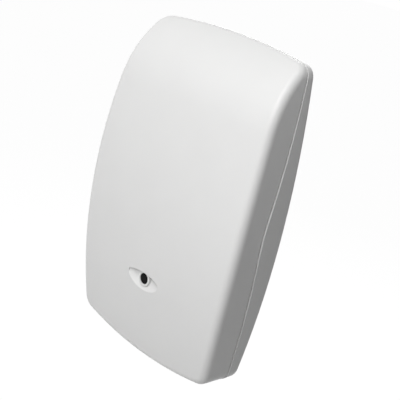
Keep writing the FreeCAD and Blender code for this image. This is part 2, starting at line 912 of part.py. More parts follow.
def electrolytic_capacitors():
    large_z = up_the_board(capacitor_large_height_share)
    small_x = trimmer_x - trimmer_size / 2 - capacitor_small_gap - capacitor_small_radius
    small_z = up_the_board(capacitor_small_height_share)
    large = capacitor(capacitor_large_x, large_z, capacitor_large_radius)
    small = capacitor(small_x, small_z, capacitor_small_radius)
    return Part.makeCompound([large, small])


def chip(x_mid, z_mid, width, length, height):
    """The body of a flat chip, lifted from the board by its legs."""
    return block(x_mid, z_mid, width, length, board_front - chip_lift, board_front - chip_lift - height)


def chip_legs(x_mid, z_mid, width, height, count):
    """Bent legs along both sides of a chip, each one a foot, a riser and a shoulder."""
    legs = []
    shoulder = board_front - chip_lift - height / 2
    for side in (-1, 1):
        edge = x_mid + side * width / 2
        for number in range(count):
            leg_z = z_mid + (number - (count - 1) / 2) * leg_pitch
            foot_x = edge + side * (leg_reach + leg_standoff) / 2
            foot_width = leg_reach - leg_standoff
            foot = block(foot_x, leg_z, foot_width, leg_width, board_front, board_front - leg_thickness)
            riser_x = edge + side * leg_standoff
            riser = block(riser_x, leg_z, leg_thickness, leg_width, board_front, shoulder - leg_thickness / 2)
            bridge_width = leg_standoff + leg_thickness / 2
            bridge = block(edge + side * bridge_width / 2, leg_z, bridge_width, leg_width,
                           shoulder + leg_thickness / 2, shoulder - leg_thickness / 2)
            legs.append(joined([foot, riser, bridge]))
    return legs


def chip_leads():
    legs = chip_legs(processor_x, processor_z, processor_width, processor_height, processor_legs)
    legs += chip_legs(amplifier_x, amplifier_z, amplifier_width, amplifier_height, amplifier_legs)
    return Part.makeCompound(legs)


def moulded_package(x_mid, z_mid, width, length, height):
    """A moulded body on the board with its front edges broken."""
    front = board_front - height
    body = block(x_mid, z_mid, width, length, board_front, front)
    edges = [edge for edge in body.Edges if edge.BoundBox.YMax < front + touch]
    return body.makeChamfer(package_chamfer, edges)


def voltage_regulator():
    z_mid = up_the_board(regulator_height_share)
    return moulded_package(regulator_x, z_mid, regulator_width, regulator_length, regulator_height)


def surge_diode():
    z_mid = up_the_board(diode_height_share)
    return moulded_package(diode_x, z_mid, diode_width, diode_length, diode_height)


def timing_crystal():
    x_mid = -(boot_radius + boot_side_gap + crystal_width / 2)
    z_mid = up_the_board(crystal_height_share)
    can = block(x_mid, z_mid, crystal_width, crystal_length, board_front, board_front - crystal_height)
    upright = [edge for edge in can.Edges if edge.BoundBox.YLength > crystal_height / 2]
    return can.makeFillet(crystal_corner_radius, upright)


def status_indicator():
    x_mid = boot_radius + boot_side_gap + indicator_width / 2
    z_mid = up_the_board(indicator_height_share)
    base_front = board_front - indicator_base
    base = block(x_mid, z_mid, indicator_width, indicator_length, board_front, base_front)
    lens = Part.makeSphere(indicator_lens_radius, point(x_mid, base_front, z_mid))
    return base.fuse(lens).common(block(x_mid, z_mid, indicator_width, indicator_length,
                                        board_front, board_front - beyond))


def chip_row(x_first, z_mid, count):
    """A row of small chips whose first one has its middle at x_first."""
    row = []
    for number in range(count):
        row.append(block(x_first + number * small_chip_pitch, z_mid, small_chip_width, small_chip_length,
                         board_front, board_front - small_chip_height))
    return row


def small_chips():
    """One row beside the relay, one below it and a short one beside the lower screw."""
    relay_side = relay_x + relay_width / 2
    relay_low = relay_z - relay_length / 2
    beside = relay_side + small_chip_gap + small_chip_width / 2
    below = relay_low - small_chip_gap - small_chip_length / 2
    run = (short_row_count - 1) * small_chip_pitch + small_chip_width / 2
    last_row = board_width / 2 - small_chip_gap - run
    chips = chip_row(beside, up_the_board(upper_row_height_share), long_row_count)
    chips += chip_row(relay_x - relay_width / 2 + small_chip_width, below, long_row_count)
    chips += chip_row(last_row, up_the_board(lower_row_height_share), short_row_count)
    return Part.makeCompound(chips)


# Places that follow from the sizes and functions above
hinge_y = parting_y(half_height)
hinge_z = half_height
port_height = board_low + microphone_inset
port_face = front_y(port_height, 0) + port_sunk
boss_back = front_y(port_height, 0) + boss_depth
hook_outer_radius = hook_inner_radius + hook_thickness
hook_swing_margin = math.degrees(hook_clearance / hook_inner_radius)
grille_front = port_face + grille_sunk
tongue_inset = cover_lip + tongue_clearance
catch_y = parting_y(-half_height) - catch_height
catch_z = -half_height + tongue_inset
catch_groove_radius = catch_nib_radius + tongue_clearance
upper_post_x = board_width / 2 - upper_post_inset
upper_post_z = board_top - upper_post_drop
lower_post_x = board_width / 2 - lower_post_inset
lower_post_z = board_low + lower_post_rise
screw_hole_end = board_front + screw_length + parting_gap
boot_front = boss_back + boot_gap
capsule_front = boot_front + capsule_front_lip
parts_front = board_front - component_room
terminal_room = 2 * (upper_post_x - pin_radius - pin_clearance)
terminal_count = int(terminal_room // terminal_pitch)
terminal_edge = board_top - terminal_setback
terminal_front = parts_front + terminal_headroom
terminal_screw_z = terminal_edge - terminal_screw_setback
tamper_x = board_width / 2 - tamper_inset
tamper_z = up_the_board(tamper_height_share)
tamper_body_front = board_front - tamper_body_height
tamper_pressed_front = parts_front + tamper_post_length
trimmer_x = board_width / 2 - trimmer_inset
trimmer_z = up_the_board(trimmer_height_share)
header_x = header_inset - board_width / 2
header_z = up_the_board(header_height_share)
header_pin_front = parts_front + header_headroom
relay_x = relay_inset - board_width / 2
relay_z = up_the_board(relay_height_share)
relay_front = parts_front + relay_headroom
capacitor_front = parts_front + capacitor_headroom
processor_z = up_the_board(processor_height_share)
amplifier_x = boot_radius + boot_side_gap + leg_reach + amplifier_width / 2
amplifier_z = up_the_board(amplifier_height_share)

os.makedirs("parts", exist_ok=True)
export(front_cover(), "front_cover")
export(rear_base(), "rear_base")
export(circuit_board(), "circuit_board")
export(board_screws(), "board_screws")
export(microphone_boot(), "microphone_boot")
export(microphone_capsule(), "microphone_capsule")
export(microphone_leads(), "microphone_leads")
export(microphone_grille(), "microphone_grille")
export(terminal_block(), "terminal_block")
export(terminal_clamps(), "terminal_clamps")
export(terminal_screws(), "terminal_screws")
export(tamper_switch_body(), "tamper_switch_body")
export(tamper_plunger(), "tamper_plunger")
export(trimmer_body(), "trimmer_body")
export(trimmer_rotor(), "trimmer_rotor")
export(jumper_header(), "jumper_header")
export(jumper_pins(), "jumper_pins")
export(jumper_shunts(), "jumper_shunts")
export(alarm_relay(), "alarm_relay")
export(electrolytic_capacitors(), "electrolytic_capacitors")
export(chip(processor_x, processor_z, processor_width, processor_length, processor_height), "processor_chip")
export(chip(amplifier_x, amplifier_z, amplifier_width, amplifier_length, amplifier_height), "amplifier_chip")
export(chip_leads(), "chip_leads")
export(voltage_regulator(), "voltage_regulator")
export(surge_diode(), "surge_diode")
export(timing_crystal(), "timing_crystal")
export(status_indicator(), "status_indicator")
export(small_chips(), "small_chips")
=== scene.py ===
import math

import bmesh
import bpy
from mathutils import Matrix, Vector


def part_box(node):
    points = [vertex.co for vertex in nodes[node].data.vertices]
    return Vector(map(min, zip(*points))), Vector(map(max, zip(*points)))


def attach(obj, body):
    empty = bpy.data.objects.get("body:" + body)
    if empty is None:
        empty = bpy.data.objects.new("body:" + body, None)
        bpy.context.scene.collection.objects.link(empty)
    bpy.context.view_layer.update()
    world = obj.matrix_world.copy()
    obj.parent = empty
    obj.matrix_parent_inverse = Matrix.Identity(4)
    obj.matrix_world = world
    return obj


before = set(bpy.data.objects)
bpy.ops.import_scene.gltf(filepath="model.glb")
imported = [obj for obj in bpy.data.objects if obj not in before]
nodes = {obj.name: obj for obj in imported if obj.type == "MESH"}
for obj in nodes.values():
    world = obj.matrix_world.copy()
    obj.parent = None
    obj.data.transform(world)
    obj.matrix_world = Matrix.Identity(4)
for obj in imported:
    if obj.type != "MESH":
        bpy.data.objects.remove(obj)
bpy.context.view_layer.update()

# %% [markdown]
# # A small white sensor for the wall
# The imported CAD model is the frame of this lesson. It already holds every solid in metres: a white
# housing in two parts, and the circuit board inside it. Blender could remodel them, but then the
# sizes would drift, so the solids stay as they are. What this file adds is the finish of every
# surface, the printed and soldered detail on the board, the light and the camera.

MM = 0.001

# %% [markdown]
# ## Tools for finishes
# Every finish below is a small node tree round one Principled shader. A flat colour would look like
# a toy, so each tree adds what the real material has: a grain you can feel, a roughness that varies
# from spot to spot, or a pattern. The patterns use object coordinates. All the solids sit at the
# origin in metres, so a blot of 2 mm is 2 mm on every piece, and it moves with the piece.
# A pattern is a number between 0 and 1 at each point. A colour ramp turns it into a tone or a
# gloss, and a bump node turns it into relief.

# %% A new finish and its first pattern
def new_finish(name, colour, roughness, metallic=0.0):
    """A new material with its even values set on the shader itself."""
    finish = bpy.data.materials.new(name)
    finish.use_nodes = True
    shader = finish.node_tree.nodes["Principled BSDF"]
    shader.inputs["Base Color"].default_value = (*colour, 1.0)
    shader.inputs["Roughness"].default_value = roughness
    shader.inputs["Metallic"].default_value = metallic
    finish.diffuse_color = (*colour, 1.0)
    return finish, finish.node_tree, shader


def noise_in_mm(tree, size_mm, detail=2.0, stretch=(1.0, 1.0, 1.0)):
    """Cloudy noise whose blots are about size_mm across; stretch draws them out along an axis."""
    place = tree.nodes.new("ShaderNodeTexCoord")
    squeeze = tree.nodes.new("ShaderNodeMapping")
    squeeze.inputs["Scale"].default_value = [1.0 / part for part in stretch]
    noise = tree.nodes.new("ShaderNodeTexNoise")
    noise.inputs["Scale"].default_value = 1.0 / (size_mm * MM)
    noise.inputs["Detail"].default_value = detail
    tree.links.new(place.outputs["Object"], squeeze.inputs["Vector"])
    tree.links.new(squeeze.outputs["Vector"], noise.inputs["Vector"])
    return noise.outputs["Fac"]


print("a noise scale of", 1.0 / MM, "gives blots of about 1 mm")

# %% From a pattern to tone, gloss and relief
NOISE_LOW = 0.3
NOISE_HIGH = 0.7


def ramp(tree, source, low_value, high_value, low=NOISE_LOW, high=NOISE_HIGH):
    """Maps a 0 to 1 source to colours: low_value where it is below low, high_value above high."""
    band = tree.nodes.new("ShaderNodeValToRGB")
    ends = band.color_ramp.elements
    ends[0].position = low
    ends[1].position = high
    ends[0].color = (*low_value, 1.0)
    ends[1].color = (*high_value, 1.0)
    tree.links.new(source, band.inputs["Fac"])
    return band.outputs["Color"]


def tint(tree, shader, source, low_colour, high_colour, low=NOISE_LOW, high=NOISE_HIGH):
    """Colours a finish by a 0 to 1 source."""
    tree.links.new(ramp(tree, source, low_colour, high_colour, low, high), shader.inputs["Base Color"])


def grey(value):
    """The same value for red, green and blue."""
    return (value, value, value)


def scaled(colour, factor):
    """A colour made darker or lighter."""
    return tuple(part * factor for part in colour)


def raise_surface(tree, shader, source, height_mm, below=None):
    """Bump of height_mm from a 0 to 1 source, laid over the bump below it if there is one."""
    bump = tree.nodes.new("ShaderNodeBump")
    bump.inputs["Distance"].default_value = height_mm * MM
    tree.links.new(source, bump.inputs["Height"])
    if below is not None:
        tree.links.new(below, bump.inputs["Normal"])
    tree.links.new(bump.outputs["Normal"], shader.inputs["Normal"])
    return bump.outputs["Normal"]


print("a ramp starts at", NOISE_LOW, "and ends at", NOISE_HIGH, "because noise seldom goes further")

# %% [markdown]
# ## The white housing
# Cover and base are injection moulded from white ABS. The mould is finely spark eroded, which
# leaves a matt skin with pits of about a tenth of a millimetre. They are too small to see at arm's
# length, but they spread the highlights. Modelled geometry would need millions of faces for that,
# so a bump node does it. A faint unevenness of tone keeps the big front from looking computed.
# Most parts of the board are moulded too, so one helper with other values will do for them later.

# %% White moulded plastic
WHITE = (0.80, 0.80, 0.795)


def moulded_skin(name, colour, roughness, grain_mm=0.12, relief_mm=0.004):
    """Moulded plastic or rubber: faint clouds of tone and gloss, and a fine grain."""
    cloud_mm, cloud_tone = 9.0, 0.985
    patch_mm, patch_spread = 1.4, 0.03
    finish, tree, shader = new_finish(name, colour, roughness)
    tint(tree, shader, noise_in_mm(tree, cloud_mm), scaled(colour, cloud_tone), colour)
    patch = ramp(tree, noise_in_mm(tree, patch_mm),
                 grey(roughness - patch_spread), grey(roughness + patch_spread))
    tree.links.new(patch, shader.inputs["Roughness"])
    raise_surface(tree, shader, noise_in_mm(tree, grain_mm, detail=3.0), relief_mm)
    return finish


def dress(finish, *names):
    """Puts a finish on whole CAD nodes."""
    for name in names:
        piece = nodes[name]
        piece.data.materials.clear()
        piece.data.materials.append(finish)
    print(finish.name, "on", ", ".join(names))


dress(moulded_skin("white_housing_plastic", WHITE, 0.45), "front_cover", "rear_base")

# %% [markdown]
# ## The mesh behind the port
# A woven acoustic mesh lies behind the port, and only its middle catches light. Each thread could be
# modelled, but they are so fine that nobody would see more of them than a pattern. Two sets of sine
# waves that cross, one for each direction of the weave, draw that pattern, with painted shade in the
# gaps.

# %% Woven mesh
THREAD_MM = 0.16
THREAD_RELIEF_MM = 0.05


def calculated(tree, operation, *values):
    """A sum, product or the like of sockets and plain numbers."""
    maths = tree.nodes.new("ShaderNodeMath")
    maths.operation = operation
    for socket, value in zip(maths.inputs, values):
        if isinstance(value, float):
            socket.default_value = value
        else:
            tree.links.new(value, socket)
    return maths.outputs["Value"]


def crossed_waves(tree, pitch_mm):
    """A weave: two sets of sine waves at right angles, each pitch_mm apart."""
    place = tree.nodes.new("ShaderNodeTexCoord")
    heights = []
    for direction in ("X", "Z"):
        wave = tree.nodes.new("ShaderNodeTexWave")
        wave.bands_direction = direction
        wave.inputs["Scale"].default_value = math.pi / (10.0 * pitch_mm * MM)
        tree.links.new(place.outputs["Object"], wave.inputs["Vector"])
        heights.append(wave.outputs["Fac"])
    return calculated(tree, "MAXIMUM", *heights)


def woven_mesh():
    """Nearly black threads over gaps painted still darker as shade."""
    thread, gap = (0.010, 0.010, 0.0105), grey(0.002)
    finish, tree, shader = new_finish("woven_mesh", thread, 0.8)
    shader.inputs["Specular IOR Level"].default_value = 0.12
    weave = crossed_waves(tree, THREAD_MM)
    # Painted shade: the gaps between the threads get the darker gap colour, which stands for the shade
    # behind the weave.
    tint(tree, shader, weave, gap, thread, low=0.2, high=0.9)
    raise_surface(tree, shader, weave, THREAD_RELIEF_MM)
    return finish


dress(woven_mesh(), "microphone_grille")

# %% [markdown]
# ## The circuit board
# The real board is glass fibre laminate under a green solder mask. Copper under the mask looks
# lighter than the bare laminate beside it. The mask covers the two faces only, so the sawn edge
# shows the yellowish laminate. The board could be cut into faces and edges with a finish each. A
# test of the surface's direction is simpler: the faces look along Y and the edges don't. The weave
# of the glass is a very low bump.

# %% Solder mask and laminate
GLASS_PITCH_MM = 0.42


def coordinate(tree, axis, kind="Object"):
    """One of the three object coordinates, in metres, or one part of the surface's normal."""
    place = tree.nodes.new("ShaderNodeTexCoord")
    parts = tree.nodes.new("ShaderNodeSeparateXYZ")
    tree.links.new(place.outputs[kind], parts.inputs["Vector"])
    return parts.outputs[axis]


def mixed(tree, share, first, second):
    """The colour first where share is 0, and second where it is 1."""
    mix = tree.nodes.new("ShaderNodeMix")
    mix.data_type = "RGBA"
    tree.links.new(share, mix.inputs["Factor"])
    tree.links.new(first, mix.inputs["A"])
    tree.links.new(second, mix.inputs["B"])
    return mix.outputs["Result"]


def solder_mask():
    """Green on the two faces of the board, bare laminate on its edge."""
    green, cloud_tone = (0.020, 0.150, 0.062), 0.82
    resin, glass = (0.24, 0.21, 0.10), (0.36, 0.33, 0.17)
    finish, tree, shader = new_finish("solder_mask", green, 0.34)
    mask = ramp(tree, noise_in_mm(tree, 5.0), scaled(green, cloud_tone), green)
    laminate = ramp(tree, noise_in_mm(tree, 0.5, detail=3.0), resin, glass)
    towards_face = calculated(tree, "ABSOLUTE", coordinate(tree, "Y", "Normal"))
    on_a_face = calculated(tree, "GREATER_THAN", towards_face, 0.5)
    tree.links.new(mixed(tree, on_a_face, laminate, mask), shader.inputs["Base Color"])
    raise_surface(tree, shader, crossed_waves(tree, GLASS_PITCH_MM), height_mm=0.006)
    return finish


dress(solder_mask(), "circuit_board")

# %% Where the board's faces lie
def box_in_mm(node):
    """The lowest and the highest corner of a CAD node."""
    low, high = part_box(node)
    return low / MM, high / MM


board_low, board_high = box_in_mm("circuit_board")
FACE = board_low.y
BACK = board_high.y
JUST_INSIDE = FACE + 0.02
print("the board's face lies at", round(FACE, 2), "mm and its back at", round(BACK, 2), "mm")

# %% [markdown]
# ## Tools for small pieces
# The board of the real sensor carries printed and soldered detail that is far finer than the solids:
# copper tracks, pads, solder, the white outlines round each part. An image texture could show
# them, but it would blur close up. Thin meshes stay sharp. They are drawn in millimetres, and the
# helper here turns each mesh into a piece: it scales it to metres, gives it a finish and ties it to
# the CAD body that it moves with. Those on the board reach just inside it, so no gap shows.

# %% From a mesh to a piece
def make_piece(name, work, finish, body, centre=(0.0, 0.0, 0.0), bevel_mm=0.0):
    """Turns a bmesh in mm into an object that moves with a body; centre is its own origin in mm."""
    bmesh.ops.remove_doubles(work, verts=work.verts, dist=1e-4)
    bmesh.ops.recalc_face_normals(work, faces=work.faces)
    bmesh.ops.translate(work, vec=-Vector(centre), verts=work.verts)
    bmesh.ops.scale(work, vec=(MM, MM, MM), verts=work.verts)
    mesh = bpy.data.meshes.new(name)
    work.to_mesh(mesh)
    work.free()
    mesh.materials.append(finish)
    piece = bpy.data.objects.new(name, mesh)
    bpy.context.scene.collection.objects.link(piece)
    piece.location = Vector(centre) * MM
    if bevel_mm:
        soften = piece.modifiers.new("soft_edges", "BEVEL")
        soften.width = bevel_mm * MM
        soften.segments = 2
    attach(piece, body)
    print(name, "has", len(mesh.polygons), "faces")


# %% [markdown]
# ## Copper tracks
# Signals run in bundles: several tracks side by side that bend together by 45 degrees. Drawing each
# track by hand would be slow, so one path is shifted sideways for each track of a bundle. Wide
# single tracks carry the supply from the terminals.

# %% Strips along a path
LONGEST_MITRE = 2.0


def shifted_path(points, shift):
    """A path of (x, z) points moved sideways, with mitred corners."""
    moved = []
    for index, here in enumerate(points):
        before = (here - points[index - 1]).normalized() if index else None
        after = (points[index + 1] - here).normalized() if index + 1 < len(points) else None
        along = ((before or after) + (after or before)).normalized()
        reach = shift / max(1.0 / LONGEST_MITRE, along.dot(before or after))
        moved.append(here + Vector((-along.y, along.x)) * reach)
    return moved


def add_strip(work, left_points, right_points, back, front):
    """A strip between two lines of (x, z) points, from depth back to depth front."""
    sections = []
    for left, right in zip(left_points, right_points):
        corners = ((left.x, back, left.y), (left.x, front, left.y),
                   (right.x, front, right.y), (right.x, back, right.y))
        sections.append([work.verts.new(corner) for corner in corners])
    for near, far in zip(sections, sections[1:]):
        for corner in range(4):
            after = (corner + 1) % 4
            work.faces.new((near[corner], near[after], far[after], far[corner]))
    work.faces.new(sections[0])
    work.faces.new(sections[-1])


mitre = 1.0 / math.cos(math.radians(45.0 / 2))
print("in a bend of 45 degrees a corner moves by", round(mitre, 3), "times the shift")

# %% Where the tracks run
TRACK_WIDTH = 0.24
TRACK_RISE = 0.04
TRACK_VIA = 0.22
SUPPLY_VIA = 0.5

# Each bundle: how many tracks, their pitch and the path of the first one as x, z in mm.
# The others follow on its right hand side, or on its left where the pitch is negative.
BUNDLES = [
    (4, 0.5, [(-5.0, -12.3), (-6.6, -12.3), (-9.4, -15.1), (-9.4, -20.6)]),
    (4, 0.5, [(-5.0, -8.3), (-8.4, -8.3), (-9.6, -9.5), (-10.6, -9.5)]),
    (4, 0.5, [(2.6, -7.4), (3.4, -6.6), (3.4, -4.4), (2.2, -3.2), (0.8, -3.2)]),
    (3, 0.55, [(2.6, -10.0), (4.6, -10.0), (6.2, -11.6), (8.8, -11.6)]),
    (4, 0.8, [(2.6, -12.6), (3.2, -13.2), (3.2, -15.6), (4.4, -16.6), (4.9, -16.6)]),
    (3, 0.8, [(10.8, -17.4), (12.0, -17.4), (12.4, -17.8), (13.9, -17.8)]),
    (3, 0.6, [(-6.9, -1.2), (-6.9, 3.6), (-5.6, 4.9), (-5.6, 6.6)]),
    (3, 0.7, [(8.6, -0.4), (10.2, 1.2), (10.2, 4.6), (9.2, 5.6), (9.2, 6.8)]),
    (4, -0.5, [(-18.6, -8.0), (-18.6, -17.2), (-17.4, -18.4), (-11.4, -18.4)]),
    (3, 0.6, [(12.2, -14.6), (12.2, -15.6), (12.9, -16.3), (18.0, -16.3)]),
]

# Each supply track: its width and its path.
SUPPLY_TRACKS = [
    (1.2, [(-12.5, 7.2), (-12.5, 3.4)]),
    (1.2, [(-2.6, 7.2), (-2.6, 5.3)]),
    (1.0, [(12.5, 7.2), (12.5, 4.8)]),
    (1.0, [(17.9, 6.0), (17.9, -6.6)]),
    (0.9, [(0.2, 3.2), (1.4, 3.2)]),
    (0.9, [(-2.6, 0.9), (-2.6, -1.4)]),
    (0.9, [(8.6, -2.6), (10.4, -2.6), (11.6, -3.8), (11.6, -5.3)]),
    (0.9, [(-1.2, -19.2), (-4.6, -22.6), (-4.6, -24.2), (3.2, -24.2)]),
]
print("bundles:", len(BUNDLES), "supply tracks:", len(SUPPLY_TRACKS))

# %% Tracks
masked_copper = moulded_skin("masked_copper", (0.045, 0.235, 0.105), 0.3,
                             grain_mm=0.3, relief_mm=0.002)


def add_track(work, points, width):
    """A flat strip of an even width along a path."""
    left, right = shifted_path(points, width / 2), shifted_path(points, -width / 2)
    add_strip(work, left, right, JUST_INSIDE, FACE - TRACK_RISE)


def draw_tracks():
    """Draws all tracks, and returns where each one ends with the radius of the via there."""
    work, ends = bmesh.new(), []
    for count, pitch, path in BUNDLES:
        first = [Vector(point) for point in path]
        for number in range(count):
            points = shifted_path(first, -pitch * number)
            add_track(work, points, TRACK_WIDTH)
            ends.append((points[-1], TRACK_VIA))
    for width, path in SUPPLY_TRACKS:
        points = [Vector(point) for point in path]
        add_track(work, points, width)
        ends.append((points[-1], SUPPLY_VIA))
    make_piece("board_tracks", work, masked_copper, "housing")
    return ends


track_ends = draw_tracks()

# %% [markdown]
# ## Vias
# Each track ends in a via, a plated hole that leads to the other side of the board. Real holes
# could be cut with a boolean, but that would change the CAD solid. A raised ring round a spot of
# painted shade looks the same from outside. Both are profiles turned about a line across the board.

# %% Turned shapes
def add_turned(work, x, z, profile, steps, closed=False):
    """A profile of (radius, depth) pairs turned about a line across the board at x, z."""
    rings = []
    for step in range(steps):
        turn = 2.0 * math.pi * step / steps
        rings.append([work.verts.new((x + radius * math.cos(turn), depth, z + radius * math.sin(turn)))
                      for radius, depth in profile])
    spans = len(profile) if closed else len(profile) - 1
    for step in range(steps):
        here, there = rings[step], rings[(step + 1) % steps]
        for span in range(spans):
            after = (span + 1) % len(profile)
            work.faces.new((here[span], here[after], there[after], there[span]))


def add_ring(work, x, z, inner, outer, front, steps):
    """A flat ring between two radii, from just inside the board to depth front."""
    profile = [(inner, JUST_INSIDE), (inner, front), (outer, front), (outer, JUST_INSIDE)]
    add_turned(work, x, z, profile, steps, closed=True)


def add_disc(work, x, z, front_radius, back_radius, front, back, steps):
    """A disc that faces forwards. Its rim slopes where the two radii differ."""
    profile = [(0.0, front), (front_radius, front), (back_radius, back), (0.0, back)]
    add_turned(work, x, z, profile, steps)


for steps in (16, 24, 48):
    missed = 100.0 * (1.0 - math.cos(math.pi / steps))
    print("a circle of", steps, "sides misses a true one by", round(missed, 2), "percent")

# %% Tinned metal
def worn_metal(name, colour, roughness, grain_mm, stretch=(1.0, 1.0, 1.0)):
    """Plated or drawn metal: cloudy tone and gloss; a stretched grain looks brushed."""
    cloud_mm, cloud_tone, gloss_spread, relief_mm = 1.6, 0.86, 0.07, 0.003
    finish, tree, shader = new_finish(name, colour, roughness, metallic=1.0)
    tint(tree, shader, noise_in_mm(tree, cloud_mm), scaled(colour, cloud_tone), colour)
    grain = noise_in_mm(tree, grain_mm, detail=3.0, stretch=stretch)
    patch = ramp(tree, grain, grey(roughness - gloss_spread), grey(roughness + gloss_spread))
    tree.links.new(patch, shader.inputs["Roughness"])
    raise_surface(tree, shader, grain, relief_mm)
    return finish


plated = worn_metal("plated_tin", (0.52, 0.515, 0.50), 0.42, grain_mm=0.25)
print("metal:", plated.name)

# %% Rings and spots
VIA_RISE = 0.06
SPOT_RISE = 0.01
HOLE_SHARE = 0.45
VIA_STEPS = 16
# Painted shade: a near-black disc stands for the shade inside each via hole.
via_hole_shade = moulded_skin("painted_via_hole_shade", (0.012, 0.014, 0.012), 0.8)


def draw_vias(places):
    """A plated ring and a spot of painted hole shade in it at each place."""
    rings, spots = bmesh.new(), bmesh.new()
    for place, radius in places:
        hole = radius * HOLE_SHARE
        add_ring(rings, place.x, place.y, hole, radius, FACE - VIA_RISE, VIA_STEPS)
        add_disc(spots, place.x, place.y, hole, hole, FACE - SPOT_RISE, JUST_INSIDE, VIA_STEPS)
    make_piece("board_via_rings", rings, plated, "housing")
    make_piece("board_via_hole_shade", spots, via_hole_shade, "housing")


draw_vias(track_ends)

# %% [markdown]
# ## Pads and end caps
# Each leg of a chip stands on a tinned pad, and each small chip part is soldered at both ends, where
# a metal cap wraps it. Their places could be a list, but it would be wrong as soon as the board is
# laid out anew. So they come from the boxes of the solids. Several solids share one CAD node: a
# walk from corner to corner along the edges finds the corners of one solid after the other.

# %% The solids in a node
def loose_boxes(node):
    """Corners in mm of each separate solid in a CAD node, from left to right and then upwards."""
    work = bmesh.new()
    work.from_mesh(nodes[node].data)
    bmesh.ops.remove_doubles(work, verts=work.verts, dist=1e-6)
    waiting = set(work.verts)
    boxes = []
    while waiting:
        reached, corners = [waiting.pop()], []
        while reached:
            vertex = reached.pop()
            corners.append(vertex.co / MM)
            others = [edge.other_vert(vertex) for edge in vertex.link_edges]
            fresh = [other for other in others if other in waiting]
            waiting.difference_update(fresh)
            reached.extend(fresh)
        low = Vector([min(corner[axis] for corner in corners) for axis in range(3)])
        high = Vector([max(corner[axis] for corner in corners) for axis in range(3)])
        boxes.append((low, high))
    work.free()
    return sorted(boxes, key=lambda pair: (round(pair[0].x, 2), round(pair[0].z, 2)))


def middle(low, high):
    """The middle of a box as x and z."""
    return (low.x + high.x) / 2, (low.z + high.z) / 2


for node in ("chip_leads", "small_chips"):
    print(node, "holds", len(loose_boxes(node)), "solids")

# %% Pads
CHIPS = ("processor_chip", "amplifier_chip")
PAD_RISE = 0.035
LEG_PAD_WIDTH = 0.5
LEG_PAD_HEEL = 0.45
LEG_PAD_TOE = 0.3
END_PAD_BESIDE = 0.06
END_PAD_BEYOND = 0.3
END_PAD_UNDER = 0.4


def add_slab(work, low, high):
    """A block between two corners."""
    place = Matrix.Translation((Vector(low) + Vector(high)) / 2)
    size = Matrix.Diagonal((*(Vector(high) - Vector(low)), 1.0))
    bmesh.ops.create_cube(work, size=1.0, matrix=place @ size)


def draw_pads():
    """One pad under each leg of a chip, and two under each small chip part."""
    work = bmesh.new()
    chip_middles = [middle(*box_in_mm(node))[0] for node in CHIPS]
    for low, high in loose_boxes("chip_leads"):
        x, z = middle(low, high)
        nearest = min(chip_middles, key=lambda chip_middle: abs(chip_middle - x))
        side = 1.0 if x > nearest else -1.0
        toe = high.x if side > 0.0 else low.x
        left, right = sorted((toe - side * LEG_PAD_HEEL, toe + side * LEG_PAD_TOE))
        add_slab(work, (left, FACE - PAD_RISE, z - LEG_PAD_WIDTH / 2),
                 (right, JUST_INSIDE, z + LEG_PAD_WIDTH / 2))
    for low, high in loose_boxes("small_chips"):
        for start, end in ((low.z - END_PAD_BEYOND, low.z + END_PAD_UNDER),
                           (high.z - END_PAD_UNDER, high.z + END_PAD_BEYOND)):
            add_slab(work, (low.x - END_PAD_BESIDE, FACE - PAD_RISE, start),
                     (high.x + END_PAD_BESIDE, JUST_INSIDE, end))
    make_piece("board_pads", work, plated, "housing", bevel_mm=0.015)


draw_pads()

# %% End caps of the small chip parts
CAP_LENGTH = 0.32
CAP_SKIN = 0.03


def draw_end_caps():
    """A cap over both ends of each small chip part."""
    work = bmesh.new()
    for low, high in loose_boxes("small_chips"):
        for start, end in ((low.z - CAP_SKIN, low.z + CAP_LENGTH),
                           (high.z - CAP_LENGTH, high.z + CAP_SKIN)):
            add_slab(work, (low.x - CAP_SKIN, low.y - CAP_SKIN, start), (high.x + CAP_SKIN, FACE, end))
    make_piece("small_chip_end_caps", work, plated, "housing", bevel_mm=0.06)


draw_end_caps()

# %% [markdown]
# ## Solder on the back
# Solder climbs a little way up each lead that comes through the board. It could be sculpted as a
# drop, but a turned shape with a hollow slope gives that look with a few faces.

# %% Solder cones
# The hollow slope: shares of the radius at the foot, and heights over the back of the board.
SOLDER_SLOPE = [(1.0, -0.01), (1.0, 0.05), (0.7, 0.12), (0.5, 0.35), (0.42, 0.75)]
SOLDER_TIP = 0.05
SOLDER_RADII = {"jumper_pins": 0.85, "microphone_leads": 0.75, "terminal_clamps": 1.25}


def draw_solder_cones():
    """A cone round each lead that comes through the board."""
    work = bmesh.new()
    slope = [(share, BACK + height) for share, height in SOLDER_SLOPE]
    for node, foot in SOLDER_RADII.items():
        cone = [(0.0, slope[0][1])] + [(share * foot, depth) for share, depth in slope]
        cone.append((0.0, slope[-1][1] + SOLDER_TIP))
        for low, high in loose_boxes(node):
            add_turned(work, *middle(low, high), cone, steps=24)
    make_piece("solder_cones", work, plated, "housing")


draw_solder_cones()

# %% [markdown]
# ## Outlines printed on the board
# White epoxy ink marks where each part goes. A real board also has letters and numbers, but this
# part carries no text, so only plain frames, circles and the dots for pin one are drawn. They could
# be painted by a mask in the board's finish, but each would need its place typed in. As thin
# meshes they take it from the solids. The ink is screen printed and shows a slightly ragged tone.

# %% White ink
def screen_ink():
    """White ink that lies thinner in spots."""
    white, thin_tone = (0.80, 0.80, 0.77), 0.8
    finish, tree, shader = new_finish("screen_ink", white, 0.6)
    blots = noise_in_mm(tree, 0.25, detail=4.0)
    tint(tree, shader, blots, scaled(white, thin_tone), white, low=0.25, high=0.6)
    raise_surface(tree, shader, noise_in_mm(tree, 0.2), height_mm=0.004)
    return finish


ink = screen_ink()
print("ink:", ink.name)

# %% Frames, circles and dots
LINE = 0.16
INK_FRONT = FACE - 0.05
CIRCLE_GAP = 0.3
DOT_RADIUS = 0.28
DOT_BESIDE = 1.3
DOT_ABOVE = 0.15
TERMINAL_LINE_BELOW = 0.45

